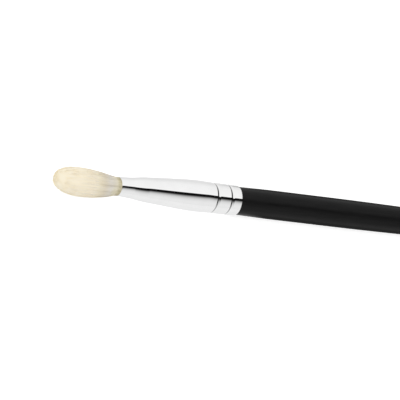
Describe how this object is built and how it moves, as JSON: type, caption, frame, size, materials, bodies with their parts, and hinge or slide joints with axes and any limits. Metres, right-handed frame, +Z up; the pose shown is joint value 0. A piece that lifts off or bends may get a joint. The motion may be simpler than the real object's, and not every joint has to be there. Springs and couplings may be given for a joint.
{
  "type": "eyeshadow brush",
  "caption": "Slim blending brush for eye make-up: a tapered dome of soft pale hair in a bright crimped ferrule on a long black lacquered handle.",
  "frame": {"origin": "on the axis of the brush, at the rear edge of the ferrule, where it meets the shoulder of the handle", "axes": "+X along the axis towards the tail of the handle, -X towards the hair, +Z up when the brush lies on a table"},
  "size_m": [0.1795, 0.009, 0.009],
  "materials": {
    "black_lacquer": "turned hardwood under satin black lacquer",
    "bright_plate": "polished bright plating on drawn brass",
    "pale_hair": "soft undyed cream hair",
    "waxed_thread": "waxed cotton",
    "clear_resin": "set clear resin"
  },
  "bodies": {
    "root": {"handle": "black_lacquer", "ferrule": "bright_plate", "hair_tuft": "pale_hair", "binding_thread": "waxed_thread", "root_plug": "clear_resin"}
  },
  "joints": []
}
